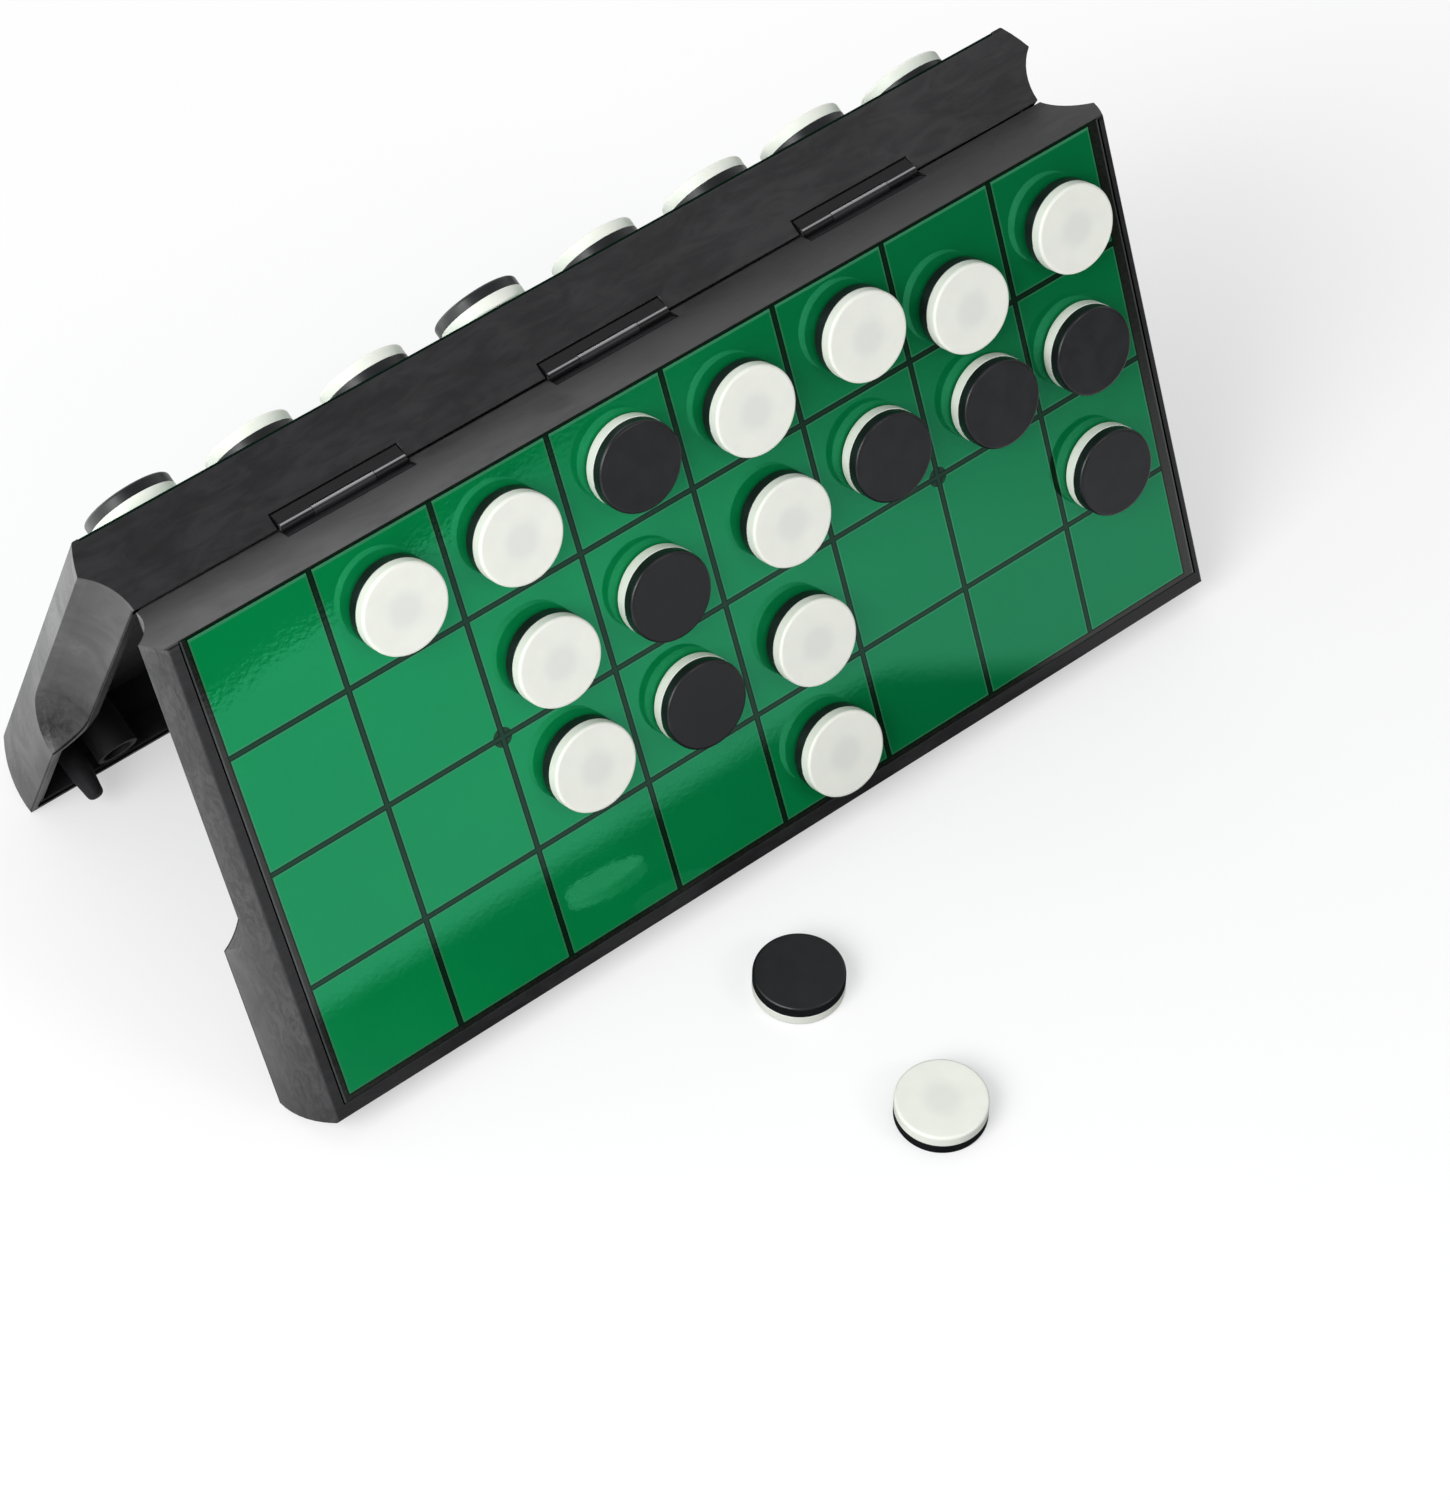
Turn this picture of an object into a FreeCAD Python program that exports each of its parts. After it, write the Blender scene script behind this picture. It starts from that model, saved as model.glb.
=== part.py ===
import FreeCAD, Part
import math
import os

# Folding reversi board standing as a tent, in millimetres and degrees.
# World frame: X along the hinge, Z up, the floor at Z = 0, the hinge above the origin.
# Tray frame: origin on the hinge axis, x along the hinge, y away from it,
# z from the rim plane up to the playing face. Both trays are the same moulding.

# playing surface: the squares set the size of the board
columns = 8
rowsPerTray = 4
cell = 22.72
firstRow = 0.28             # middle line of the whole board, from the hinge axis
fieldTrim = 0.65            # the outer squares are a little short of a full one
linesOffset = -0.31         # the lines are printed a little off the sheet's middle
wideBorder = 2.2            # printed border beyond the field: both ends, free side, hinge side
narrowBorder = 1.3
borderSide = 1.1
borderHinge = 0.34
lineWidth = 1.05
starRadius = 1.8
starColumn = 2              # star points lie two squares in from each corner
sheetThickness = 0.4
sheetDrop = 0.1             # sheet face below the frame face
sheetGap = 0.1
printDepth = 0.1
steelInset = 2.4
steelThickness = 0.5

# tray outline
trayTilt = 66.9             # slope of each playing face when the board stands as a tent
pivotGap = 0.22             # rim and hinge wall stand this far back from the hinge axis
faceHeight = 14.4           # hinge axis to playing face
flareHeight = 8.9           # where the walls bulge most
frameEnd = 1.7              # frame round the sheet: mean of the two ends, and the free side
frameSide = 2.75
endFlare = 2.4              # end walls beyond the face: where they bulge most, and at the rim
endRim = 3.35
sideFlare = 0.6             # free side beyond the face, in the same two places
sideRim = 0.8
wall = 2.3
plate = 3.0                 # thickness of the face plate
faceEdgeRadius = 0.5
rimStepWidth = 1.15         # inner part of the rim, moulded a little lower
rimStepDepth = 0.45

# finger coves in the end walls, ball ended
coveRadius = 11.1
coveOutset = 5.45           # cove axis beyond the rim
coveEnd = 53.6              # centre of the ball end, from the hinge
coveWall = 2.2

# closing pegs and sockets near the free corners
closureInset = 8.55         # from the free side's rim
outerClosureInset = 8.95    # from the end's rim
closureSpacing = 7.5
pegRootRadius = 2.7
pegRimRadius = 2.1
pegTipRadius = 1.4
pegReach = 5.0              # beyond the hinge axis plane
pegTipRound = 1.0
socketRadius = 3.9
socketBore = 2.85

# leaf hinges
hingeCount = 3
hingePitch = 52.2
leafLength = 24.0
leafReach = 2.65            # from the hinge axis along the hinge wall
leafSeat = 1.35             # depth of the seat below the hinge axis plane
leafGap = 0.35
leafSlope = (0.3, 0.95)     # how far the front leaf lies below the wall: far edge, near edge
knuckleRadius = 0.85
knuckleClear = 0.15
knuckleGap = 0.1
middleKnuckle = 11.8
pinRadius = 0.4
pinBore = 0.45

# discs
discRadius = 7.9
discThickness = 4.6
discEdge = 0.5
magnetRadius = 3.0
magnetThickness = 1.6

# The position in play, one line of squares per row from the hinge, as seen in front of
# that side: W is a disc with its white face up, B one with its black face up.
frontRows = (".WWBWWWW",
             "..WBWBBB",
             "..WBW..B",
             "....W...")
backRow = "BWWBWWWW"
# how far each disc lies from the middle of its square: along the row, away from the hinge
frontShifts = (((0.3, 1.0), (0.1, 0.7), (1.2, 0.1), (1.3, 1.9), (2.2, 0.3), (0.1, 5.7), (1.0, 2.5)),
               ((0.3, 1.7), (0.0, 1.8), (2.5, 1.4), (1.5, 0.6), (1.7, 2.5), (-0.7, 2.8)),
               ((0.9, 0.3), (0.8, 1.1), (1.3, 2.0), (-1.7, 4.0)),
               ((0.9, 2.0),))
backShifts = ((0.7, -1.2), (1.1, 0.7), (0.5, -0.3), (-0.1, -3.4),
              (1.7, -0.2), (2.0, -0.3), (0.2, 0.0), (0.1, 2.0))
# two spare discs on the floor: place along the hinge, and distance from the front foot
firstSpareX = -14.8
firstSpareDistance = 33.9
secondSpareX = -12.1
secondSpareDistance = 68.0

# values that follow from those above
fieldHalfLength = columns * cell / 2 - fieldTrim
fieldStart = pivotGap + borderHinge
fieldEnd = firstRow + rowsPerTray * cell - fieldTrim
sheetLeft = -fieldHalfLength - wideBorder
sheetRight = fieldHalfLength + narrowBorder
sheetEnd = fieldEnd + borderSide
faceHalfLength = (sheetRight - sheetLeft) / 2 + frameEnd
flareHalfLength = faceHalfLength + endFlare
rimHalfLength = faceHalfLength + endRim
faceReach = sheetEnd + frameSide
flareReach = faceReach + sideFlare
rimReach = faceReach + sideRim
coveCentre = rimHalfLength + coveOutset
closureReach = rimReach - closureInset
outerClosureX = rimHalfLength - outerClosureInset
innerClosureX = outerClosureX - closureSpacing
hingeCentres = [(number - (hingeCount - 1) / 2) * hingePitch for number in range(hingeCount)]
big = 4 * rimHalfLength
tiny = 1e-6
rimHeight = pivotGap
ceiling = faceHeight - plate
sheetTop = faceHeight - sheetDrop
sheetBottom = sheetTop - sheetThickness
steelBottom = sheetBottom - steelThickness
halfDisc = discThickness / 2
slope = math.radians(trayTilt)
hingeHeight = rimReach * math.sin(slope) - rimHeight * math.cos(slope)
frontFoot = -rimReach * math.cos(slope) - rimHeight * math.sin(slope)

xAxis = FreeCAD.Vector(1, 0, 0)
yAxis = FreeCAD.Vector(0, 1, 0)
zAxis = FreeCAD.Vector(0, 0, 1)


def point(x, y, z):
    return FreeCAD.Vector(x, y, z)


def block(x0, x1, y0, y1, z0, z1):
    return Part.makeBox(x1 - x0, y1 - y0, z1 - z0, point(x0, y0, z0))


def prism(edges, direction):
    return Part.Face(Part.Wire(edges)).extrude(direction)


def atFront(shape):
    """Lay a shape from the tray frame on the front side of the tent."""
    turned = shape.copy()
    turned.rotate(point(0, 0, 0), zAxis, 180)
    turned.rotate(point(0, 0, 0), xAxis, trayTilt)
    turned.translate(point(0, 0, hingeHeight))
    return turned


def atBack(shape):
    """Lay a shape from the tray frame on the back side of the tent."""
    turned = shape.copy()
    turned.rotate(point(0, 0, 0), xAxis, -trayTilt)
    turned.translate(point(0, 0, hingeHeight))
    return turned


# tray

def trayForm(inset, top):
    """Outer form of the tray, or the same form inset by a wall, up to the height top.

    The end walls and the free side bulge outwards from the face to the rim, so the form
    is what two arched prisms have in common. The hinge wall is flat.
    """
    rim, flare, face = (half - inset for half in (rimHalfLength, flareHalfLength, faceHalfLength))
    right = Part.Arc(point(rim, 0, rimHeight), point(flare, 0, flareHeight), point(face, 0, faceHeight))
    left = Part.Arc(point(-face, 0, faceHeight), point(-flare, 0, flareHeight), point(-rim, 0, rimHeight))
    across = prism([right.toShape(),
                    Part.LineSegment(point(face, 0, faceHeight), point(-face, 0, faceHeight)).toShape(),
                    left.toShape(),
                    Part.LineSegment(point(-rim, 0, rimHeight), point(rim, 0, rimHeight)).toShape()],
                   yAxis * big)

    near = pivotGap + inset
    rim, flare, face = (reach - inset for reach in (rimReach, flareReach, faceReach))
    side = Part.Arc(point(0, rim, rimHeight), point(0, flare, flareHeight), point(0, face, faceHeight))
    corners = (point(0, face, faceHeight), point(0, near, faceHeight), point(0, near, rimHeight), point(0, rim, rimHeight))
    lines = [Part.LineSegment(a, b).toShape() for a, b in zip(corners, corners[1:])]
    along = prism([side.toShape()] + lines, xAxis * 2 * big)
    along.translate(point(-big, 0, 0))

    form = across.common(along)
    if top < faceHeight:
        form = form.common(block(-big, big, -big, big, -big, top))
    return form


def coves(radius):
    """The ball-ended round grooves that give the fingers a hold when the board is shut."""
    shapes = []
    for side in (-1, 1):
        x = side * coveCentre
        groove = Part.makeCylinder(radius, coveEnd + wall * 2, point(x, -wall * 2, 0), yAxis)
        shapes.append(groove.fuse(Part.makeSphere(radius, point(x, coveEnd, 0))))
    return shapes


def peg(x):
    """Closing peg: a slight taper inside the tray and a steeper, rounded nose beyond the rim."""
    shaft = Part.makeCone(pegRootRadius, pegRimRadius, ceiling, point(x, closureReach, ceiling), -zAxis)
    nose = Part.makeCone(pegRimRadius, pegTipRadius, pegReach, point(x, closureReach, 0), -zAxis)
    tip = [edge for edge in nose.Edges if abs(edge.BoundBox.ZMax + pegReach) < tiny]
    return shaft.fuse(nose.makeFillet(pegTipRound, tip))


def socket(x):
    tube = Part.makeCylinder(socketRadius, ceiling - rimHeight, point(x, closureReach, rimHeight))
    return tube.cut(Part.makeCylinder(socketBore, ceiling - rimHeight, point(x, closureReach, rimHeight)))


def hingeSeats():
    half = leafLength / 2 + leafGap
    return [block(x - half, x + half, 0, leafSeat, 0, leafReach + leafGap) for x in hingeCentres]


def tray():
    """Hollow moulded tray: flared walls, coves, stepped rim, pegs, sockets and seats."""
    body = trayForm(0, faceHeight)
    faceEdges = [edge for edge in body.Edges
                 if abs(edge.BoundBox.ZMin - faceHeight) < tiny and edge.BoundBox.YMax > wall]
    body = body.makeFillet(faceEdgeRadius, faceEdges)

    hollow = trayForm(wall, ceiling)
    for lining in coves(coveRadius + coveWall):
        hollow = hollow.cut(lining)
    step = trayForm(rimStepWidth, rimHeight + rimStepDepth)
    for lining in coves(coveRadius + rimStepWidth):
        step = step.cut(lining)
    body = body.cut([hollow, step] + coves(coveRadius) + hingeSeats())

    # both ends hold a peg and a socket, swapped, so that a turned tray mates with another
    body = body.fuse([peg(-outerClosureX), socket(-innerClosureX), peg(innerClosureX), socket(outerClosureX)])

    # pocket for the sheet, open towards the hinge, and a deeper one for the steel
    pocket = block(sheetLeft - sheetGap, sheetRight + sheetGap, -wall, sheetEnd + sheetGap,
                   sheetBottom, faceHeight + wall)
    body = body.cut(pocket)
    return body.cut(steelPlate()).removeSplitter()


# playing surface

def steelPlate():
    return block(sheetLeft + steelInset, sheetRight - steelInset, pivotGap + steelInset,
                 sheetEnd - steelInset, steelBottom, sheetBottom)


def lineX(column):
    return (column - columns / 2) * cell + linesOffset


def gridPrint():
    """The printed lines: a border, the lines between squares and the star points."""
    low, high = sheetTop - printDepth, sheetTop
    border = block(sheetLeft, sheetRight, pivotGap, sheetEnd, low, high)
    field = block(-fieldHalfLength, fieldHalfLength, fieldStart, fieldEnd, low, high)
    marks = []
    for column in range(1, columns):
        x = lineX(column)
        marks.append(block(x - lineWidth / 2, x + lineWidth / 2, fieldStart, fieldEnd, low, high))
    for row in range(1, rowsPerTray):
        y = firstRow + row * cell
        marks.append(block(-fieldHalfLength, fieldHalfLength, y - lineWidth / 2, y + lineWidth / 2, low, high))
    for x in (lineX(starColumn), lineX(columns - starColumn)):
        y = firstRow + (rowsPerTray - starColumn) * cell
        marks.append(Part.makeCylinder(starRadius, printDepth, point(x, y, low)))
    return border.cut(field).fuse(marks).removeSplitter()


def playingSheet():
    sheet = block(sheetLeft, sheetRight, pivotGap, sheetEnd, sheetBottom, sheetTop)
    return sheet.cut(gridPrint())


# hinges

def knuckle(x0, x1):
    return Part.makeCylinder(knuckleRadius, x1 - x0, point(x0, 0, 0), xAxis)


def knuckleRelief(x0, x1):
    return Part.makeCylinder(knuckleRadius + knuckleClear, x1 - x0, point(x0, 0, 0), xAxis)


def backLeaf(x):
    """Leaf that starts flush with the hinge wall and rises onto its two outer knuckles."""
    half, inner = leafLength / 2, middleKnuckle / 2 + knuckleGap
    # its face ends as a tangent to the knuckles
    angle = math.asin(knuckleRadius / math.hypot(pivotGap, leafReach)) - math.atan2(pivotGap, leafReach)
    corners = [point(-half, leafSeat, rimHeight), point(-half, leafSeat, leafReach),
               point(-half, pivotGap, leafReach),
               point(-half, -knuckleRadius * math.cos(angle), knuckleRadius * math.sin(angle))]
    leaf = Part.Face(Part.makePolygon(corners + corners[:1])).extrude(xAxis * leafLength)
    leaf = leaf.cut(knuckleRelief(-inner, inner))
    leaf = leaf.fuse([knuckle(-half, -inner), knuckle(inner, half)])
    leaf = leaf.cut(Part.makeCylinder(pinBore, leafLength, point(-half, 0, 0), xAxis))
    leaf.translate(point(x, 0, 0))
    return leaf.removeSplitter()


def frontLeaf(x):
    """Leaf sunk below the hinge wall, deeper towards the axis, with the middle knuckle."""
    half, inner = leafLength / 2, middleKnuckle / 2
    far, near = leafSlope
    corners = [point(-half, leafSeat, rimHeight), point(-half, leafSeat, leafReach),
               point(-half, far, leafReach), point(-half, near, rimHeight)]
    leaf = Part.Face(Part.makePolygon(corners + corners[:1])).extrude(xAxis * leafLength)
    leaf = leaf.cut([knuckleRelief(-half, -inner), knuckleRelief(inner, half)])
    leaf = leaf.fuse(knuckle(-inner, inner))
    leaf = leaf.cut(Part.makeCylinder(pinBore, leafLength, point(-half, 0, 0), xAxis))
    leaf.translate(point(x, 0, 0))
    return leaf.removeSplitter()


def hingePin(x):
    return Part.makeCylinder(pinRadius, leafLength, point(x - leafLength / 2, 0, 0), xAxis)


# discs

def discHalf():
    """One half of a disc, lying face down on z = 0."""
    shape = Part.makeCylinder(discRadius, halfDisc)
    rim = [edge for edge in shape.Edges if edge.BoundBox.ZMax < halfDisc / 2 and len(edge.Vertexes) == 1]
    return shape.makeChamfer(discEdge, rim)


def disc(x, y, z, up):
    """A disc lying at a place: its black half, its white half and the magnet in the black half."""
    magnet = Part.makeCylinder(magnetRadius, magnetThickness, point(0, 0, halfDisc - magnetThickness))
    black = discHalf().cut(magnet)
    white = discHalf()
    white.rotate(point(0, 0, 0), xAxis, 180)
    white.translate(point(0, 0, discThickness))
    shapes = (black, white, magnet)
    for shape in shapes:
        if up == "B":
            shape.rotate(point(0, 0, halfDisc), xAxis, 180)
        shape.translate(point(x, y, z))
    return shapes


def squareCentre(row, column):
    return (lineX(column) + lineX(column + 1)) / 2, firstRow + (row + 0.5) * cell


# build

def save(name, *shapes):
    shape = shapes[0] if len(shapes) == 1 else Part.makeCompound(list(shapes))
    shape.exportStep("parts/" + name + ".step")
    print(name, round(shape.Volume, 1))


def saveTrays():
    moulding = tray()
    for name, lay in (("front", atFront), ("back", atBack)):
        save(name + "_tray", lay(moulding))
        save(name + "_steel_plate", lay(steelPlate()))
        save(name + "_playing_sheet", lay(playingSheet()))
        save(name + "_grid_print", lay(gridPrint()))


def saveHinges():
    save("hinge_front_leaves", *[atFront(frontLeaf(x)) for x in hingeCentres])
    save("hinge_back_leaves", *[atBack(backLeaf(x)) for x in hingeCentres])
    save("hinge_pins", *[atBack(hingePin(x)) for x in hingeCentres])


def saveFrontDiscs():
    magnets = []
    for row, squares in enumerate(frontRows):
        shifts = iter(frontShifts[row])
        for column, up in enumerate(squares):
            if up == ".":
                continue
            shift = next(shifts)
            # seen from the front, columns run against the tray's own x
            x, y = squareCentre(row, columns - 1 - column)
            black, white, magnet = disc(x - shift[0], y + shift[1], sheetTop, up)
            place = "disc_r%dc%d_" % (row + 1, column + 1)
            save(place + "black", atFront(black))
            save(place + "white", atFront(white))
            magnets.append(atFront(magnet))
    save("front_disc_magnets", *magnets)


def saveBackDiscs():
    pieces = []
    for column, up in enumerate(backRow):
        x, y = squareCentre(0, column)
        shift = backShifts[column]
        pieces.append([atBack(shape) for shape in disc(x + shift[0], y + shift[1], sheetTop, up)])
    for name, solids in zip(("back_discs_black", "back_discs_white", "back_disc_magnets"), zip(*pieces)):
        save(name, *solids)


def saveSpareDiscs():
    spares = ((firstSpareX, firstSpareDistance, "B"), (secondSpareX, secondSpareDistance, "W"))
    magnets = []
    for number, (x, distance, up) in enumerate(spares, 1):
        black, white, magnet = disc(x, frontFoot - distance, 0, up)
        save("spare_disc_%d_black" % number, black)
        save("spare_disc_%d_white" % number, white)
        magnets.append(magnet)
    save("spare_disc_magnets", *magnets)


os.makedirs("parts", exist_ok=True)
saveTrays()
saveHinges()
saveFrontDiscs()
saveBackDiscs()
saveSpareDiscs()
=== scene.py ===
import bpy
import math
import numpy as np
from functools import partial
from mathutils import Matrix, Vector


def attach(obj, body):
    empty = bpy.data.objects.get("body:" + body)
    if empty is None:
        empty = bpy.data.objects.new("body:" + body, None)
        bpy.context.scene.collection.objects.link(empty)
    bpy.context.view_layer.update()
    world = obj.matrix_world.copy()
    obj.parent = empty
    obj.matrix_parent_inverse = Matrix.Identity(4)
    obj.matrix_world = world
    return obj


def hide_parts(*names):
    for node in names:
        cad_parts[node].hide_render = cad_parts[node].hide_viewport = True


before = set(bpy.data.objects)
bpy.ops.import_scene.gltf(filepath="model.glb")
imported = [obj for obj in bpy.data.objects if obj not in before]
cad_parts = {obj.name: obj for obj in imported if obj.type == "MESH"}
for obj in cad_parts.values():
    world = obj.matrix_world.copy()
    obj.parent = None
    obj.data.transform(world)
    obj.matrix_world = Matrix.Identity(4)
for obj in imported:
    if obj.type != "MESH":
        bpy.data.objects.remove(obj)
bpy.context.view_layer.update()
print("frame loaded:", len(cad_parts), "nodes")

# Folding board game: the trays, sheets, prints and hinges keep their solids and get materials, and
# each disc half is made anew. Where a note says "fitted to the photo's light", a value follows how
# the object was lit there, not what it is made of.

# sizes in metres, as in the model's source
mm = 0.001
slope = math.radians(66.9)      # of the playing faces, from the floor
rimReach = 95.16 * mm
rimHeight = 0.22 * mm           # rim and hinge wall stand this far back from the hinge axis
hingeHeight = rimReach * math.sin(slope) - rimHeight * math.cos(slope)
sheetShift = 0.45 * mm          # the sheet's middle, off the tray's middle, the other way at the back
grid = {
    "cell": 22.72 * mm,
    "firstRow": 0.28 * mm,      # middle line of the whole board, from the hinge axis
    "offset": 0.31 * mm,        # the lines' middle, off the tray's middle, the other way at the back
    "halfLine": 0.525 * mm,
    "halfLength": 90.23 * mm,   # of the squares together
    "start": 0.56 * mm,         # of the squares, from the hinge axis
    "end": 90.51 * mm,
}


# shader nodes

# In the dictionaries below, four numbers in brackets map a value smoothly from the first two to the
# last two.
smooth = {"interpolation_type": "SMOOTHSTEP"}
rgba = {"data_type": "RGBA"}
white = (1.0, 1.0, 1.0, 1.0)


# Linear colour from an sRGB hex code.
def linear(code):
    values = [int(code[i:i + 2], 16) / 255 for i in (0, 2, 4)]
    return tuple(v / 12.92 if v <= 0.04045 else ((v + 0.055) / 1.055) ** 2.4 for v in values) + (1.0,)


# Add a node with its settings. An input, given in order or by key, is a value, an output, or a
# node, which stands for its first output.
def addNode(tree, kind, inputs=(), **settings):
    node = tree.nodes.new("ShaderNode" + kind)
    for name, value in settings.items():
        setattr(node, name, value)
    for key, value in inputs.items() if isinstance(inputs, dict) else enumerate(inputs):
        if isinstance(value, bpy.types.Node):
            value = value.outputs[0]
        if isinstance(value, bpy.types.NodeSocket):
            tree.links.new(value, node.inputs[key])
        else:
            node.inputs[key].default_value = value
    return node


# An empty material and the function that adds a node to it.
def newMaterial(name):
    material = bpy.data.materials.new(name)
    material.use_nodes = True
    material.node_tree.nodes.clear()
    return material, partial(addNode, material.node_tree)


# Masks or factors, all multiplied together.
def product(add, *factors):
    result = factors[0]
    for factor in factors[1:]:
        result = add("Math", (result, factor), operation="MULTIPLY")
    return result


# 1 where each value lies between its low and its high limit, else 0; None is no limit.
def region(add, *limits):
    tests = []
    for value, low, high in limits:
        if low is not None:
            tests.append(add("Math", (value, low), operation="GREATER_THAN"))
        if high is not None:
            tests.append(add("Math", (value, high), operation="LESS_THAN"))
    return product(add, *tests)


# Square root of a squared plus b squared.
def distanceOf(add, a, b):
    square = add("Math", (a, a), operation="MULTIPLY")
    return add("Math", (add("Math", (b, b, square), operation="MULTIPLY_ADD"),), operation="SQRT")


# Noise whose blotches measure about size, drawn out along each axis whose stretch is below 1.
def blotches(add, place, size, stretch=(1, 1, 1), detail=3.0, rough=0.5, distortion=0.0):
    place = add("Mapping", {"Vector": place, "Scale": stretch})
    return add("TexNoise", {"Vector": place, "Scale": 1 / size, "Detail": detail, "Roughness": rough,
                            "Distortion": distortion})


# Two colours mottled by a pattern, from the first at its low values to the second at its high ones.
def mottled(add, pattern, codes, low=0.3, high=0.7):
    share = add("MapRange", (pattern, low, high, 0, 1), **smooth)
    return add("Mix", {0: share, 6: linear(codes[0]), 7: linear(codes[1])}, **rgba).outputs[2]


# Place on a tray: along the hinge, away from the hinge (negative at the front), height over the
# hinge axis square to the face.
def trayPlace(add, side):
    turn = -1 if side == "front" else 1
    location = (0, turn * hingeHeight * math.sin(slope), -hingeHeight * math.cos(slope))
    return add("Mapping", {"Vector": add("TexCoord").outputs["Object"], "Location": location,
                           "Rotation": (turn * slope, 0, 0)})


# Distance along the hinge from the playing sheet's middle, on either side of it.
def fromSheetMiddle(add, side, along):
    shift = sheetShift if side == "front" else -sheetShift
    return add("Math", (add("Math", (along, shift), operation="SUBTRACT"),), operation="ABSOLUTE")


# moulded trays

# Lengths along the hinge are from its middle, and heights from its axis, square to the face.
moulding = {
    "wall": 1 * mm,             # the hinge wall lies nearer to the hinge than this
    "face": 13.9 * mm,          # the frame round the sheet lies higher than this
    "endStart": 87 * mm,        # end walls and finger coves lie further out than this
    "endFacing": 0.6,           # what faces sideways by more than this counts as an end wall too
    "coveLimit": 96.7 * mm,     # a cove lies further in than this, less a share of the height
    "coveLean": 0.24,
    "insideHalf": 91.3 * mm,    # limits of the hollow
    "insideAway": (2.2 * mm, 92.8 * mm),
    "insideHeight": 12.2 * mm,
    "pegHeight": 0.15 * mm,     # pegs stand beyond the rim, below this height
    "colours": ("141416", "1b1b1d"),
    "flow": {"size": 2.6 * mm, "stretch": (0.3, 1, 1), "detail": 5, "rough": 0.6, "distortion": 1.2},
    "endFlow": {"size": 1.5 * mm, "stretch": (1, 0.4, 1), "detail": 6, "rough": 0.72, "distortion": 1.5},
    "clouds": {"size": 11 * mm, "stretch": (0.55, 1, 1), "detail": 3, "rough": 0.55, "distortion": 0.8},
    "grain": {"size": 0.35 * mm, "detail": 2, "rough": 0.6},
    "grainShare": 0.3,
    "bump": {"Strength": 0.25, "Distance": 0.08 * mm},
    "edgeRadius": 0.22 * mm,
    "roughness": (0.16, 0.38, 0.36, 0.54),      # from the flow times the clouds
    "shine": (0.3, 0.7, 0.43, 0.57),            # from the flow
    "endShine": (0.38, 0.66, 0.38, 0.76),
    # gate mark on the hinge wall: along the hinge, height, radius
    "gate": {"front": (-16.4 * mm, 7.2 * mm, 3.6 * mm), "back": (17 * mm, 8.6 * mm, 4.5 * mm)},
    "gateFade": (0.55, 1.15),   # of its radius
    "gateColour": "0b0b0c",
    "gateShare": 0.55,
    "gateRoughness": 0.1,       # added
    # painted light: the hollow and the pegs are painted paler than the outside
    "insideColour": "1f1f21",
    "insideRoughness": 0.25,    # added
    "insideShine": 0.6,         # taken away
    # factor on the shine from place to place, fitted to the photo's light
    "wallShine": {"front": (-80 * mm, 50 * mm, 1.2, 0.66), "back": (-80 * mm, 60 * mm, 0.85, 1.25)},
    "frameShine": (40 * mm, 90 * mm, 1, 0.6),
    "coveShine": (1 * mm, 9 * mm, 0.6, 0.84),
    # painted shade: where two pieces meet, and along the rim's step, a line is painted darker than the
    # light alone leaves it here
    "darkColour": "020202",
    "creviceHeight": 0.225 * mm,        # between the two hinge walls
    "creviceAway": 2.6 * mm,
    "creviceDepth": (0.3 * mm, 0.9 * mm, 0.75, 1),
    # painted shadow of the rim's step: a dark line just above the rim
    "partingBottom": 0.24 * mm,         # line above the rim
    "partingFade": (0.45 * mm, 0.7 * mm, 1, 0),
    "partingShare": 0.85,               # how dark it is at most
    "seatAway": 0.5 * mm,               # under the front sheet's edge by the hinge
    "seatFade": (13.6 * mm, 13.85 * mm, 0, 0.6),
    "grooveHalf": (91.9 * mm, 92.28 * mm),      # beside the sheet's ends
    "grooveAway": (0.3 * mm, 91.72 * mm),
    "grooveHeight": 13.8 * mm,
}


# How much painted shade lies on the seams of a tray, from 0 to 1: in the crevice between the hinge walls,
# along the rim's step, under the front sheet's edge and in the grooves beside the sheet's ends.
def seamShade(add, side, along, away, height, within):
    depth = add("MapRange", (away, *moulding["creviceDepth"]), **smooth)
    crevice = region(add, (height, None, moulding["creviceHeight"]), (away, None, moulding["creviceAway"]))
    rim = region(add, (height, moulding["partingBottom"], None), (away, moulding["wall"], None))
    fade = add("MapRange", (height, *moulding["partingFade"]), **smooth)
    outside = add("Math", (moulding["partingShare"], within), operation="SUBTRACT")
    middle = fromSheetMiddle(add, side, along)
    groove = region(add, (middle, *moulding["grooveHalf"]), (away, *moulding["grooveAway"]),
                    (height, moulding["grooveHeight"], None))
    shades = [product(add, crevice, depth), product(add, fade, rim, outside), groove]
    if side == "front":
        seat = add("MapRange", (height, *moulding["seatFade"]), **smooth)
        shades.append(product(add, seat, region(add, (away, None, moulding["seatAway"]))))
    dark = shades[0]
    for shade in shades[1:]:
        dark = add("Math", (dark, shade), operation="MAXIMUM")
    return dark
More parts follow.
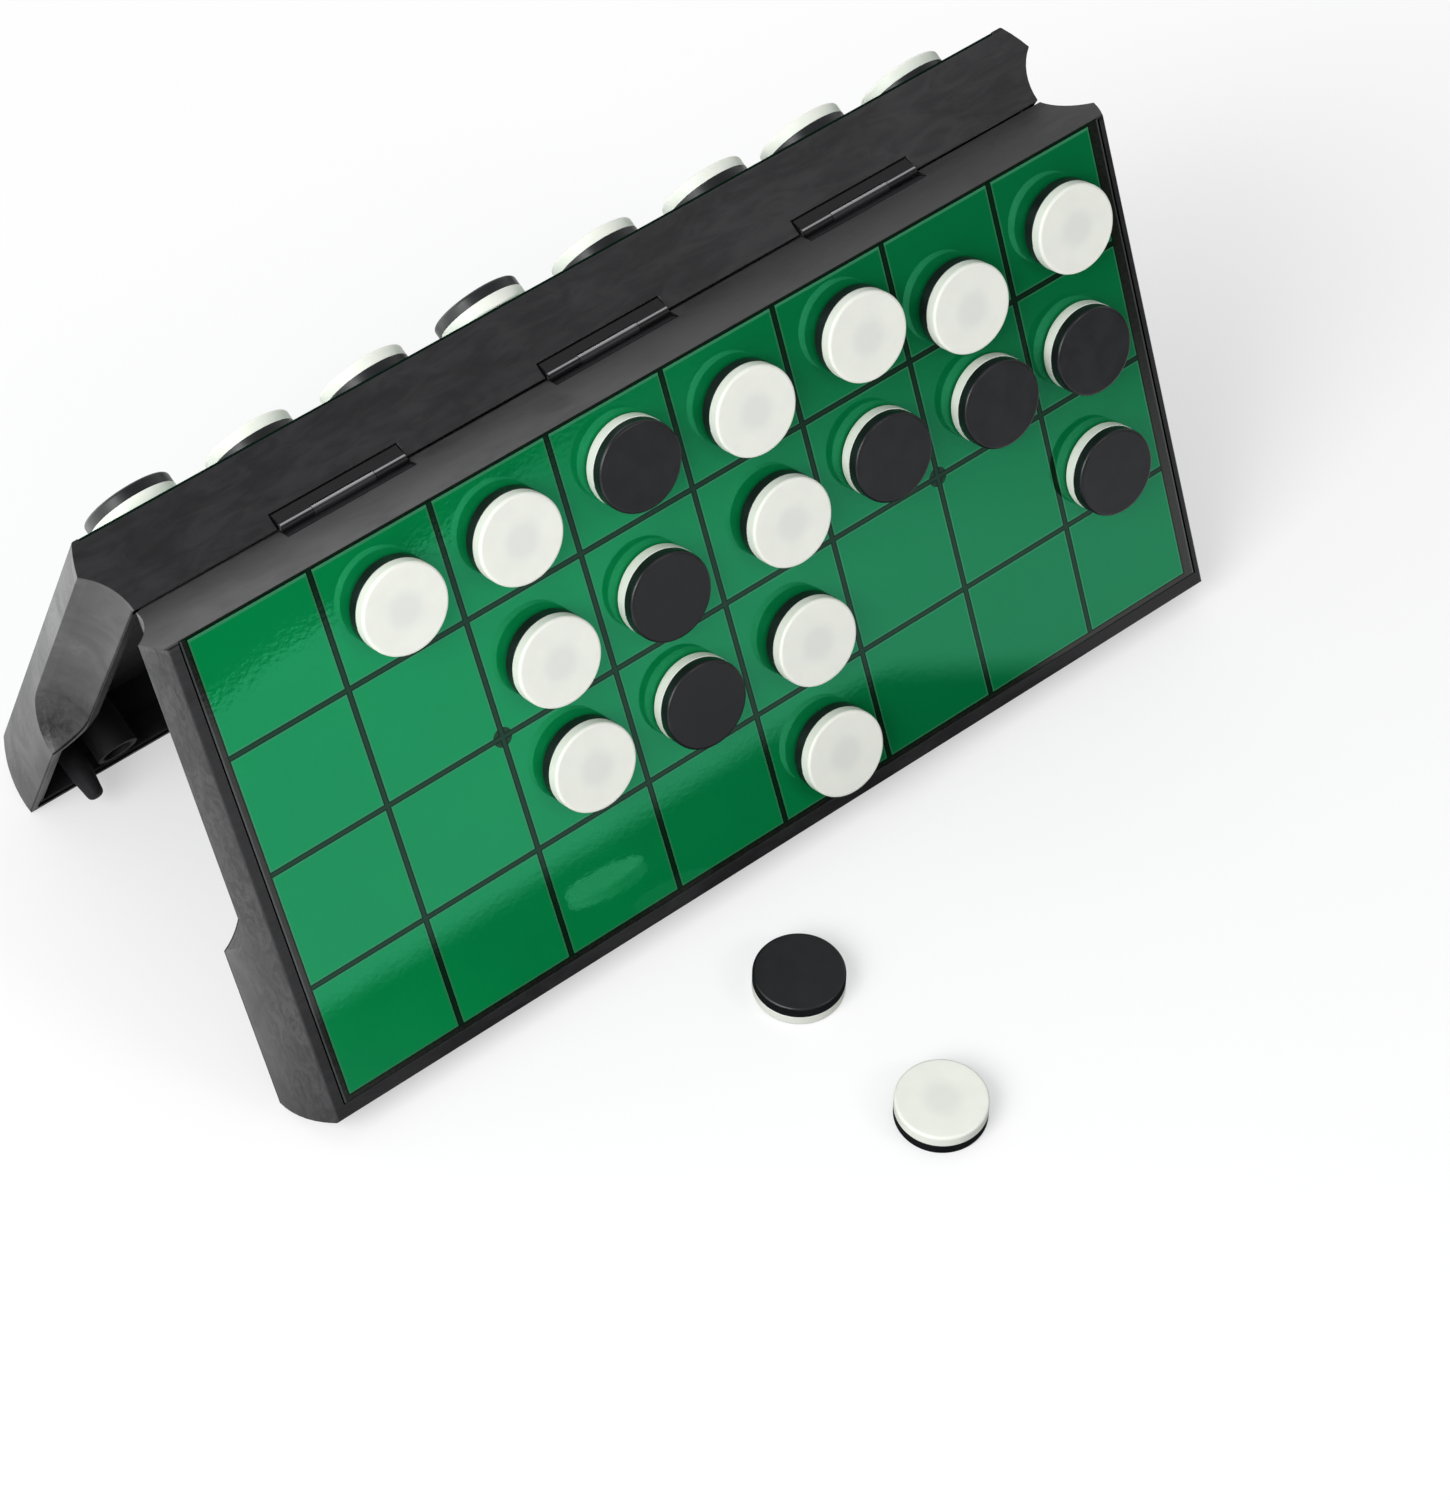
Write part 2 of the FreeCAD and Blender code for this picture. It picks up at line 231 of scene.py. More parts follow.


# Black ABS, injection moulded: satin with flow marks, cloudy gloss, fine grain and a faint gate
# mark, and matt inside, with painted light in the hollow and painted shade along the seams.
def makeMoulding(side):
    look = moulding
    material, add = newMaterial("black_abs_" + side)
    place = trayPlace(add, side)
    along, across, height = add("SeparateXYZ", (place,)).outputs
    half = add("Math", (along,), operation="ABSOLUTE")
    away = add("Math", (across,), operation="ABSOLUTE")
    onWall = region(add, (away, None, look["wall"]))
    onFrame = region(add, (height, look["face"], None))
    nearEnd = region(add, (half, look["endStart"], None), (away, look["wall"], None),
                     (height, None, look["face"]))
    normal = add("SeparateXYZ", (add("NewGeometry").outputs["Normal"],)).outputs
    sideways = region(add, (add("Math", (normal[0],), operation="ABSOLUTE"), look["endFacing"], None))
    onEnd = add("Math", (sideways, nearEnd), operation="MAXIMUM")

    # the plastic flowed along the hinge, and down the end walls
    endFlow = blotches(add, place, **look["endFlow"])
    streaks = add("Mix", {0: onEnd, 2: blotches(add, place, **look["flow"]), 3: endFlow})
    clouds = blotches(add, place, **look["clouds"])
    rough = add("MapRange", (product(add, streaks, clouds), *look["roughness"]), **smooth)
    endShine = add("MapRange", (endFlow, *look["endShine"]), **smooth)
    shine = add("Mix", {0: onEnd, 2: add("MapRange", (streaks, *look["shine"]), **smooth), 3: endShine})

    # fitted to the photo's light along the hinge walls, the frame and the coves
    slant = add("Math", (height, look["coveLean"], half), operation="MULTIPLY_ADD")
    inCove = product(add, nearEnd, region(add, (slant, None, look["coveLimit"])))
    changes = ((onWall, along, look["wallShine"][side]), (onFrame, along, look["frameShine"]),
               (inCove, height, look["coveShine"]))
    for mask, value, change in changes:
        factor = add("MapRange", (value, *change), **smooth)
        shine = product(add, shine, add("Mix", {0: mask, 2: 1.0, 3: factor}))

    gateX, gateZ, gateRadius = look["gate"][side]
    distance = distanceOf(add, add("Math", (along, gateX), operation="SUBTRACT"),
                          add("Math", (height, gateZ), operation="SUBTRACT"))
    inner, outer = (gateRadius * share for share in look["gateFade"])
    gate = product(add, onWall, add("MapRange", (distance, inner, outer, 1, 0), **smooth))
    rough = add("Math", (gate, look["gateRoughness"], rough), operation="MULTIPLY_ADD")
    colour = mottled(add, clouds, look["colours"])
    gate = product(add, gate, look["gateShare"])
    colour = add("Mix", {0: gate, 6: colour, 7: linear(look["gateColour"])}, **rgba).outputs[2]

    # matt inside and on the pegs, and painted paler there, as painted light
    within = region(add, (half, None, look["insideHalf"]), (away, *look["insideAway"]))
    hollow = product(add, within, region(add, (height, None, look["insideHeight"])))
    inside = add("Math", (hollow, region(add, (height, None, look["pegHeight"]))), operation="MAXIMUM")
    colour = add("Mix", {0: inside, 6: colour, 7: linear(look["insideColour"])}, **rgba).outputs[2]
    rough = add("Math", (inside, look["insideRoughness"], rough), operation="MULTIPLY_ADD")
    shine = product(add, shine, add("Math", (inside, -look["insideShine"], 1), operation="MULTIPLY_ADD"))

    # painted shade on the seams: a darker colour and less shine
    dark = seamShade(add, side, along, away, height, within)
    colour = add("Mix", {0: dark, 6: colour, 7: linear(look["darkColour"])}, **rgba).outputs[2]
    shine = product(add, shine, add("Math", (1, dark), operation="SUBTRACT"))

    relief = add("Mix", {0: look["grainShare"], 2: streaks, 3: blotches(add, place, **look["grain"])})
    edge = add("Bevel", {"Radius": look["edgeRadius"]}, samples=4)
    bump = add("Bump", {**look["bump"], "Height": relief, "Normal": edge})
    shader = add("BsdfPrincipled", {"Base Color": colour, "Roughness": rough, "IOR": 1.5,
                                    "Specular IOR Level": shine, "Normal": bump})
    add("OutputMaterial", (shader,))
    return material


# playing sheets and their print

# Distance from the nearest printed line's middle, and distance out into the border round the
# squares, negative on them.
def gridDistances(add, side, along, away):
    cell = grid["cell"]
    offset = grid["offset"] if side == "front" else -grid["offset"]
    distances = []
    for value, first in ((along, offset), (away, grid["firstRow"])):
        step = add("Math", (add("Math", (value, first), operation="SUBTRACT"), cell), operation="DIVIDE")
        distances.append(product(add, add("Math", (step, 0.5), operation="PINGPONG"), cell))
    half = add("Math", (along,), operation="ABSOLUTE")
    # no line runs along the outer ends of the squares
    outer = region(add, (half, 3.5 * cell, None))
    lineAcross = add("Math", (outer, cell, distances[0]), operation="MULTIPLY_ADD")
    line = add("Math", (lineAcross, distances[1]), operation="MINIMUM")
    border = add("Math", (half, grid["halfLength"]), operation="SUBTRACT")
    for low, high in ((away, grid["end"]), (grid["start"], away)):
        beyond = add("Math", (low, high), operation="SUBTRACT")
        border = add("Math", (border, beyond), operation="MAXIMUM")
    return line, border


glossLook = {
    "peel": {"size": 1.0 * mm, "detail": 2, "rough": 0.5},
    "wave": {"size": 14 * mm, "detail": 1, "rough": 0.4},
    "peelShare": 0.3,
    "bump": {"Strength": 0.35, "Distance": 0.05 * mm},
}


# The slight waviness of a laminated sheet, seen in its reflections.
def glossWave(add, place):
    relief = add("Mix", {0: glossLook["peelShare"], 2: blotches(add, place, **glossLook["wave"]),
                         3: blotches(add, place, **glossLook["peel"])})
    return add("Bump", {**glossLook["bump"], "Height": relief})


sheetLook = {
    "colours": ("02723b", "03793f"),
    # painted shade: the green is painted darker towards one end along the hinge
    "deepColour": "016435",
    "deepening": (-45 * mm, 50 * mm, 0, 1),     # along the hinge, fitted to the photo's light
    "clouds": {"size": 30 * mm, "detail": 2, "rough": 0.5},
    "paleColour": "2b6e47",     # along the ink
    "palerColour": "357c56",    # along the hinge
    "paleWidth": 0.28 * mm,
    "hingeWidth": 1.1 * mm,
    "cutColour": "081a12",      # of the cut edge by the hinge, which lies in shadow
    "cut": (0.3 * mm, 0.4 * mm, 0, 1),
    "shine": 0.5,
    "tint": (0.1, 1.0, 0.56, 1.0),
}


# Green PVC sheet, printed and laminated: glossy, with a slight orange-peel wave, paler along the ink,
# and painted shade darkening it towards one end.
def makeSheetGreen(side):
    look = sheetLook
    material, add = newMaterial("laminated_pvc_" + side)
    place = trayPlace(add, side)
    along, across = add("SeparateXYZ", (place,)).outputs[:2]
    away = add("Math", (across,), operation="ABSOLUTE")
    line, border = gridDistances(add, side, along, away)
    colour = mottled(add, blotches(add, place, **look["clouds"]), look["colours"])
    # painted shade along the hinge
    shaded = add("MapRange", (along, *look["deepening"]), **smooth)
    colour = add("Mix", {0: shaded, 6: colour, 7: linear(look["deepColour"])}, **rgba).outputs[2]
    byInk = add("Math", (region(add, (line, None, grid["halfLine"] + look["paleWidth"])),
                         region(add, (border, -look["paleWidth"], None))), operation="MAXIMUM")
    byHinge = region(add, (away, None, look["hingeWidth"]))
    pale = add("Mix", {0: byHinge, 6: linear(look["paleColour"]), 7: linear(look["palerColour"])}, **rgba)
    colour = add("Mix", {0: byInk, 6: colour, 7: pale.outputs[2]}, **rgba).outputs[2]
    uncut = add("MapRange", (away, *look["cut"]), **smooth)
    colour = add("Mix", {0: uncut, 6: linear(look["cutColour"]), 7: colour}, **rgba).outputs[2]
    shader = add("BsdfPrincipled", {"Base Color": colour, "Roughness": 0.035, "IOR": 1.9,
                                    "Specular IOR Level": product(add, uncut, look["shine"]),
                                    "Specular Tint": look["tint"], "Normal": glossWave(add, place)})
    add("OutputMaterial", (shader,))
    return material


printLook = {
    "borderColours": ("0f130e", "191e18"),
    "lineColour": "081e11",
    "inkedColour": "031a0d",    # edges of the lines and of the border, where the ink stands thicker
    "inkedLine": (0.3 * mm, 0.625 * mm),
    "inkedBorder": (0, 0.3 * mm),
    # painted highlight: a pale line along the sheet's outer edge
    "rimColour": "3c4040",      # the sheet's outer edge
    "rimStart": 91.68 * mm,
    "mottle": {"size": 0.6 * mm, "detail": 2, "rough": 0.6},
    "shine": 0.55,
    "inkedShine": 0.25,         # taken away
    "cutWidth": 0.3 * mm,
    "lineTint": (0.42, 1, 0.75, 1),
}


# Screen-printed dark ink under the same gloss, inked darker along its edges than in its middle, with a
# painted highlight along the sheet's outer edge.
def makePrint(side):
    look = printLook
    material, add = newMaterial("screen_ink_" + side)
    place = trayPlace(add, side)
    along, across = add("SeparateXYZ", (place,)).outputs[:2]
    away = add("Math", (across,), operation="ABSOLUTE")
    line, border = gridDistances(add, side, along, away)
    onField = region(add, (border, None, 0.0))
    colour = mottled(add, blotches(add, place, **look["mottle"]), look["borderColours"], 0.35, 0.65)
    inked = add("Math", (region(add, (border, None, 0.0), (line, *look["inkedLine"])),
                         region(add, (border, *look["inkedBorder"]))), operation="MAXIMUM")
    # painted highlight along the sheet's outer edge
    rim = region(add, (fromSheetMiddle(add, side, along), look["rimStart"], None))
    for mask, name in ((onField, "lineColour"), (inked, "inkedColour"), (rim, "rimColour")):
        colour = add("Mix", {0: mask, 6: colour, 7: linear(look[name])}, **rgba).outputs[2]
    shine = add("Math", (inked, -look["inkedShine"], look["shine"]), operation="MULTIPLY_ADD")
    shine = product(add, shine, region(add, (away, look["cutWidth"], None)))
    tint = add("Mix", {0: onField, 6: white, 7: look["lineTint"]}, **rgba).outputs[2]
    shader = add("BsdfPrincipled", {"Base Color": colour, "Roughness": 0.08, "IOR": 1.46,
                                    "Specular IOR Level": shine, "Specular Tint": tint,
                                    "Normal": glossWave(add, place)})
    add("OutputMaterial", (shader,))
    return material


# hinges, steel plates and magnets

hingeLook = {
    # painted light and shade: one coating, painted paler on the front leaves and darker on the back ones
    "coating": {"front": ("222224", "2c2c2e"), "back": ("101011", "18181a")},
    # painted highlight of bright metal along the top of each barrel, where it faces up and a little back
    "wornColour": "a2a2a4",
    "brush": {"size": 0.4 * mm, "stretch": (0.08, 1, 1), "detail": 3, "rough": 0.6},
    "barrel": (0.853 * mm, 0.864 * mm, 1, 0),   # by distance from the hinge axis
    "top": (0.82, 0.93, 0, 1),                  # by how squarely the barrel faces up and a little back
    "up": (0.96, 0.28),
    "roughness": (0.3, 0.7, 0.34, 0.46),
}


# Black coated steel leaf, with a painted highlight of bright metal along the top of its barrel, and
# its coating painted paler on the front leaves than on the back ones, as painted light and shade.
def makeHingeMetal(side):
    look = hingeLook
    material, add = newMaterial("coated_steel_" + side)
    place = trayPlace(add, side)
    parts = add("SeparateXYZ", (place,)).outputs
    radius = distanceOf(add, parts[1], parts[2])
    brush = blotches(add, place, **look["brush"])
    dark, pale = (linear(code) for code in look["coating"][side])
    coating = add("Mix", {0: brush, 6: dark, 7: pale}, **rgba).outputs[2]
    # painted highlight where the barrel faces up and a little back
    world = add("SeparateXYZ", (add("TexCoord").outputs["Object"],)).outputs
    up, back = look["up"]
    height = add("Math", (world[2], up, -up * hingeHeight), operation="MULTIPLY_ADD")
    height = add("Math", (world[1], back, height), operation="MULTIPLY_ADD")
    upright = add("Math", (height, radius), operation="DIVIDE")
    highlight = product(add, add("MapRange", (radius, *look["barrel"]), **smooth),
                   add("MapRange", (upright, *look["top"]), **smooth))
    colour = add("Mix", {0: highlight, 6: coating, 7: linear(look["wornColour"])}, **rgba).outputs[2]
    roughness = add("MapRange", (brush, *look["roughness"]), **smooth)
    shader = add("BsdfPrincipled", {"Base Color": colour, "Metallic": highlight, "IOR": 1.4,
                                    "Specular IOR Level": 0.3, "Roughness": roughness})
    add("OutputMaterial", (shader,))
    return material


steelLook = {
    "colours": ("a9abad", "c6c8ca"),
    "lines": {"size": 0.2 * mm, "stretch": (0.05, 1, 1), "detail": 3, "rough": 0.6},
    "roughness": (0.3, 0.7, 0.25, 0.4),
}


# Drawn or rolled steel: bright, with fine lines along the hinge.
def makeSteel():
    look = steelLook
    material, add = newMaterial("rolled_steel")
    lines = blotches(add, add("TexCoord").outputs["Object"], **look["lines"])
    dark, pale = (linear(code) for code in look["colours"])
    colour = add("Mix", {0: lines, 6: dark, 7: pale}, **rgba).outputs[2]
    roughness = add("MapRange", (lines, *look["roughness"]), **smooth)
    shader = add("BsdfPrincipled", {"Base Color": colour, "Metallic": 1.0, "Roughness": roughness})
    add("OutputMaterial", (shader,))
    return material


magnetLook = {
    "colours": ("38383a", "4a4a4c"),
    "grains": {"size": 0.25 * mm, "detail": 4, "rough": 0.7},
    "bump": {"Strength": 0.4, "Distance": 0.05 * mm},
}


# Sintered ferrite: dark grey, dull, grainy.
def makeMagnet():
    look = magnetLook
    material, add = newMaterial("sintered_ferrite")
    grains = blotches(add, add("TexCoord").outputs["Object"], **look["grains"])
    dark, pale = (linear(code) for code in look["colours"])
    colour = add("Mix", {0: grains, 6: dark, 7: pale}, **rgba).outputs[2]
    bump = add("Bump", {**look["bump"], "Height": grains})
    shader = add("BsdfPrincipled", {"Base Color": colour, "Roughness": 0.6, "Normal": bump})
    add("OutputMaterial", (shader,))
    return material


# discs

discForm = {
    "radius": 7.9,              # lengths in millimetres, as in the place attribute
    "thickness": 4.6,
    "edgeRadius": 0.5,
    "edgeSteps": 6,
    "seam": 0.07,               # bevel where the two halves join
    "dish": 0.04,               # the face's middle lies this much lower
    "faceRows": (0, 0.25, 0.5, 0.75, 0.93),     # shares of the flat face's radius
    "faceSupport": 0.02,        # a row this near to an edge keeps its shading crisp
    "sideSupport": 0.03,
    "joinSupport": 0.05,
    "turns": 72,
    "lie": (2.4, 900),          # radians by its number and by its place: how each disc lies turned
    "gap": 3 * mm,              # in metres: the discs of a CAD node stand further apart than this
}
# the sizes of the discs' patterns are in millimetres too
whiteLook = {
    "colours": ("dfe1d9", "e3e5dc"),
    "clouds": {"size": 5.0, "detail": 2, "rough": 0.5},
    "fine": {"size": 0.25, "detail": 2, "rough": 0.6},
    "magnetColour": "d5d8d2",
    "magnetEdge": (1.6, 4.6, 1, 0),
    "magnetShare": 0.85,
    "faceDepth": (0.2, 0.6, 1, 0),
    "roughness": (0.3, 0.7, 0.36, 0.44),
    "bump": {"Strength": 0.1, "Distance": 0.03 * mm},
}
blackLook = {
    "colours": ("111214", "17181b"),
    "clouds": {"size": 4.0, "detail": 3, "rough": 0.55},
    "fine": {"size": 0.3, "detail": 2, "rough": 0.6},
    "roughness": (0.3, 0.7, 0.3, 0.4),
    "bump": {"Strength": 0.15, "Distance": 0.03 * mm},
}


# Moulded off-white polystyrene, smooth: the magnet shows through as a faint grey round.
def makeDiscWhite():
    look = whiteLook
    material, add = newMaterial("white_polystyrene")
    place = add("Attribute", attribute_name="place").outputs["Vector"]
    x, y, depth = add("SeparateXYZ", (place,)).outputs
    clouds = blotches(add, place, **look["clouds"])
    shadow = product(add, add("MapRange", (distanceOf(add, x, y), *look["magnetEdge"]), **smooth),
                     add("MapRange", (depth, *look["faceDepth"]), **smooth), look["magnetShare"])
    colour = mottled(add, clouds, look["colours"])
    colour = add("Mix", {0: shadow, 6: colour, 7: linear(look["magnetColour"])}, **rgba).outputs[2]
    bump = add("Bump", {**look["bump"], "Height": blotches(add, place, **look["fine"])})
    roughness = add("MapRange", (clouds, *look["roughness"]), **smooth)
    shader = add("BsdfPrincipled", {"Base Color": colour, "Roughness": roughness, "IOR": 1.48,
                                    "Subsurface Weight": 0.12, "Subsurface Radius": (1.0, 1.0, 0.8),
                                    "Subsurface Scale": 0.8 * mm, "Normal": bump})
    add("OutputMaterial", (shader,))
    return material


# Moulded black polystyrene: satin, cloudy gloss and a fine grain.
def makeDiscBlack():
    look = blackLook
    material, add = newMaterial("black_polystyrene")
    place = add("Attribute", attribute_name="place").outputs["Vector"]
    clouds = blotches(add, place, **look["clouds"])
    bump = add("Bump", {**look["bump"], "Height": blotches(add, place, **look["fine"])})
    roughness = add("MapRange", (clouds, *look["roughness"]), **smooth)
    shader = add("BsdfPrincipled", {"Base Color": mottled(add, clouds, look["colours"]), "IOR": 1.43,
                                    "Roughness": roughness, "Normal": bump})
    add("OutputMaterial", (shader,))
    return material


# Radius and depth of a disc half, from the middle of its face round to the join. The face's depth
# is the dish times one minus the fourth power of its share of the radius, the edge is a quarter
# circle, and the join has a tiny bevel.
def discHalfProfile():
    radius, half, edge = discForm["radius"], discForm["thickness"] / 2, discForm["edgeRadius"]
    flat, seam, dish = radius - edge, discForm["seam"], discForm["dish"]
    share = np.array(discForm["faceRows"])
    face = np.column_stack([flat * share, dish * (1 - share ** 4)])
    angle = np.linspace(0, math.pi / 2, discForm["edgeSteps"] + 1)
    curve = np.column_stack([flat + edge * np.sin(angle), edge - edge * np.cos(angle)])
    bySide, byJoin = discForm["sideSupport"], discForm["joinSupport"]
    side = [(radius, edge + bySide), (radius, half - seam - bySide), (radius, half - seam)]
    join = [(radius - seam, half), (radius - seam - byJoin, half), (flat * 0.5, half)]
    return np.concatenate([face, [(flat - discForm["faceSupport"], 0)], curve, side, join])


# Turn the profile round the axis of each place: the face's middle, two directions on the face, and
# the direction out of it. A point is the middle plus radius times cosine along the first direction
# and radius times sine along the second, less its depth along the third.
def discHalfMesh(name, places):
    rows, turns = discHalfProfile(), discForm["turns"]
    angle = np.arange(turns) * 2 * math.pi / turns
    radius, depth = rows[1:, :1], rows[1:, 1:]
    rings = np.stack(np.broadcast_arrays(radius * np.cos(angle), radius * np.sin(angle), depth), -1)
    first, last = [[0, 0, rows[0, 1]]], [[0, 0, discForm["thickness"] / 2]]
    local = np.concatenate([first, rings.reshape(-1, 3), last])

    here = np.arange(turns)
    after = np.roll(here, -1)
    starts = 1 + turns * np.arange(len(rings))[:, None]
    middle = np.stack([here + 1, after + 1, 0 * here], -1)
    quads = np.stack([starts[1:] + here, starts[1:] + after, starts[:-1] + after, starts[:-1] + here], -1)
    end = np.stack([0 * here + len(local) - 1, starts[-1] + after, starts[-1] + here], -1)

    points, faces = [], []
    for number, (centre, along, across, axis) in enumerate(places):
        points.append(centre + mm * local @ np.array([along, across, -axis]))
        for block in (middle, quads.reshape(-1, 4), end):
            faces += (block + number * len(local)).tolist()
    mesh = bpy.data.meshes.new(name)
    mesh.from_pydata(np.concatenate(points).tolist(), [], faces)
    mesh.polygons.foreach_set("use_smooth", [True] * len(mesh.polygons))
    attribute = mesh.attributes.new("place", "FLOAT_VECTOR", "POINT")
    attribute.data.foreach_set("vector", np.tile(local, (len(places), 1)).ravel())
    mesh.update()
    piece = bpy.data.objects.new(name, mesh)
    bpy.context.scene.collection.objects.link(piece)
    return piece


# Centre of each disc half in a CAD node, and the direction away from its other half. The solids
# stand apart along the hinge, so their vertices are parted where a gap opens there.
def discFrames(node, otherNode):
    centres = []
    for name in (node, otherNode):
        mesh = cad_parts[name].data
        points = np.zeros(len(mesh.vertices) * 3)
        mesh.vertices.foreach_get("co", points)
        points = points.reshape(-1, 3)
        points = points[np.argsort(points[:, 0])]
        starts = np.nonzero(np.diff(points[:, 0]) > discForm["gap"])[0] + 1
        centres.append([(group.min(0) + group.max(0)) / 2 for group in np.split(points, starts)])
    return [(centre, centre - other) for centre, other in zip(*centres)]


# A piece for all the disc halves in a CAD node. They lie flat on a playing face, or on the floor
# where they are spare, each turned by an angle of its own.
def makeDiscHalf(node, otherNode, colour, body):
    slopeSide = -1 if body == "front_half" else 1
    normal = np.array((0, slopeSide * math.sin(slope), math.cos(slope)))
    if node.startswith("spare"):
        normal = np.array((0.0, 0.0, 1.0))
    byNumber, byPlace = discForm["lie"]
    places = []
    for number, (centre, outward) in enumerate(discFrames(node, otherNode)):
        axis = normal if np.dot(outward, normal) > 0 else -normal
        along = np.array((1.0, 0.0, 0.0))
        across = np.cross(axis, along)
        turn = byNumber * (number + 1) + byPlace * centre[0]
        # the middle of a half lies a quarter of the disc's thickness below its face
        face = centre + axis * discForm["thickness"] * mm / 4
        places.append((face, along * math.cos(turn) + across * math.sin(turn),
                       across * math.cos(turn) - along * math.sin(turn), axis))
    piece = discHalfMesh("moulded_" + node, places)
    piece.data.materials.append(materials[colour])
    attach(piece, body)
    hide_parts(node)


def assign(node, material):
    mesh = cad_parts[node].data
    mesh.materials.clear()
    mesh.materials.append(material)


materials = {"steel": makeSteel(), "magnet": makeMagnet(), "white": makeDiscWhite(),
             "black": makeDiscBlack()}
for side in ("front", "back"):
    assign(side + "_tray", makeMoulding(side))
    assign(side + "_playing_sheet", makeSheetGreen(side))
    assign(side + "_grid_print", makePrint(side))
    assign("hinge_%s_leaves" % side, makeHingeMetal(side))
    assign(side + "_steel_plate", materials["steel"])
assign("hinge_pins", materials["steel"])
for node in ("front_disc_magnets", "back_disc_magnets", "spare_disc_magnets"):
    assign(node, materials["magnet"])
print("materials assigned")

for node in sorted(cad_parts):
    name, _, colour = node.rpartition("_")
    if colour in ("black", "white"):
        otherNode = name + ("_white" if colour == "black" else "_black")
        makeDiscHalf(node, otherNode, colour, "back_half" if node.startswith("back") else "front_half")
print("discs made")


# floor, light and camera

# Each patch and glow is fitted to the photo's light and seen only by the rays that its note names,
# from place to place: along the hinge (x) or away from it (y).
floorLook = {
    "halfSize": 6.0,
    "colour": (0.9, 0.9, 0.905, 1),
    "darkColour": (0.03, 0.03, 0.03, 1),
    "farTurn": 0.62,                    # glossy: beyond its front edge the room is dark
    "far": (-0.487, -0.481, 1, 0),
    "right": (0.12, 0.32, 0, 0.95),     # glossy: the light falls off to the right
    "nearY": ((-0.162, -0.14, 0, 1), (-0.05, -0.02, 1, 0)),     # glossy and diffuse: a dark patch
    "nearX": ((0.068, 0.084, 1, 0), (-0.15, -0.04, 0, 1)),      # before the board
    "nearDiffuse": 0.5,                 # share of it that diffuse rays see
    "left": (-0.13, -0.08, 1, 0),       # glossy: to the left it is lit harder than white
    "leftGlow": (0.03, 0.12, 2.4, 6),   # most of all further back
    "leftShare": 0.4,
    "behindTurn": 0.3,                  # camera: it is whitest behind
    "behind": (0.02, 0.16, 0.45, 0.9),
}


# Wide pale matt floor, whiter for the camera, as on a lit sweep.
def makeFloor():
    look = floorLook
    size = look["halfSize"]
    corners = [(-size, -size, 0), (size, -size, 0), (size, size, 0), (-size, size, 0)]
    mesh = bpy.data.meshes.new("floor")
    mesh.from_pydata(corners, [], [(0, 1, 2, 3)])
    floor = bpy.data.objects.new("floor", mesh)
    bpy.context.scene.collection.objects.link(floor)
    material, add = newMaterial("pale_floor")
    rays = add("LightPath").outputs
    x, y = add("SeparateXYZ", (add("TexCoord").outputs["Object"],)).outputs[:2]
    far = add("Math", (x, look["farTurn"], y), operation="MULTIPLY_ADD")
    far = add("MapRange", (far, *look["far"]), **smooth)
    right = add("MapRange", (x, *look["right"]), **smooth)
    edges = [(y, edge) for edge in look["nearY"]] + [(x, edge) for edge in look["nearX"]]
    near = product(add, *(add("MapRange", (value, *edge), **smooth) for value, edge in edges))
    dark = add("Math", (add("Math", (far, right), operation="MAXIMUM"), near), operation="MAXIMUM")
    dim = product(add, near, look["nearDiffuse"], rays["Is Diffuse Ray"])
    dim = add("Math", (dark, rays["Is Glossy Ray"], dim), operation="MULTIPLY_ADD")
    colour = add("Mix", {0: dim, 6: look["colour"], 7: look["darkColour"]}, **rgba).outputs[2]
    diffuse = add("BsdfDiffuse", {"Color": colour})
    left = product(add, add("MapRange", (x, *look["left"]), **smooth), rays["Is Glossy Ray"])
    strength = add("Mix", {0: left, 2: 1.0, 3: add("MapRange", (y, *look["leftGlow"]), **smooth)})
    glow = add("Emission", {"Color": white, "Strength": strength})
    behind = add("Math", (x, look["behindTurn"], y), operation="MULTIPLY_ADD")
    behind = add("MapRange", (behind, *look["behind"]), **smooth)
    share = product(add, rays["Is Camera Ray"], behind)
    share = add("Math", (left, look["leftShare"], share), operation="MULTIPLY_ADD")
    add("OutputMaterial", (add("MixShader", (share, diffuse, glow)),))
    mesh.materials.append(material)


# Colours by direction.
worldLook = {
    "front": (0.55, 0.55, 0.56, 1),
    "back": (1.3, 1.3, 1.3, 1),
    "frontToBack": (-0.4, 0.3, 0, 1),
    "overhead": (0.62, 0.62, 0.63, 1),
    "upwards": (0.25, 0.95, 0, 1),
    # brighter for glossy rays, fitted to the photo's light
    "glossyLeft": (3.6, 3.6, 3.6, 1),
    "glossyRight": (1.4, 1.4, 1.4, 1),
    "leftToRight": (0.24, 0.44, 0, 1),
    "strength": 0.8,
    "cameraStrength": 0.2,      # added for the camera
}


